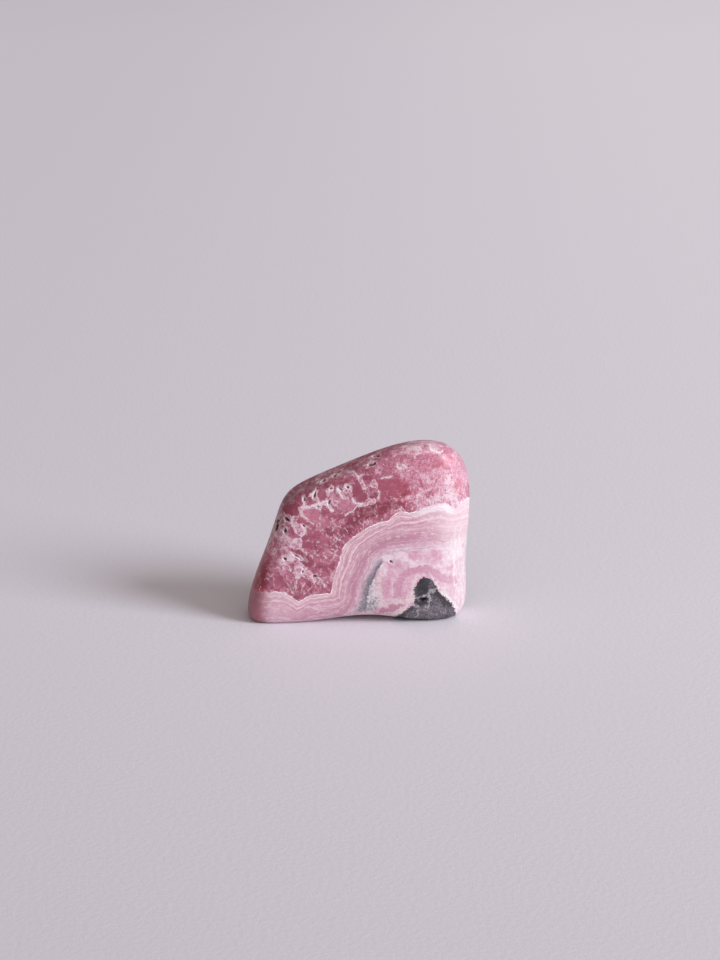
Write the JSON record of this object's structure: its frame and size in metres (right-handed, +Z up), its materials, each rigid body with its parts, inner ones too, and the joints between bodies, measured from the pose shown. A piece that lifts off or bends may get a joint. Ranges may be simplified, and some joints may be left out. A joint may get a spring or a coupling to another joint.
{
  "type": "polished rhodochrosite slice",
  "caption": "Chunky polished slice of banded pink rhodochrosite with a dark matrix corner, standing on its long edge.",
  "frame": {"origin": "middle of the base, in the plane of the two flat feet that the stone stands on", "axes": "+X along the base towards the corner with the dark matrix, +Y through the thickness towards the back, +Z up"},
  "size_m": [0.0482, 0.0126, 0.0397],
  "materials": {
    "banded_rhodochrosite": "polished, satin gloss"
  },
  "bodies": {
    "root": {"rhodochrosite_slice": "banded_rhodochrosite"}
  },
  "joints": []
}
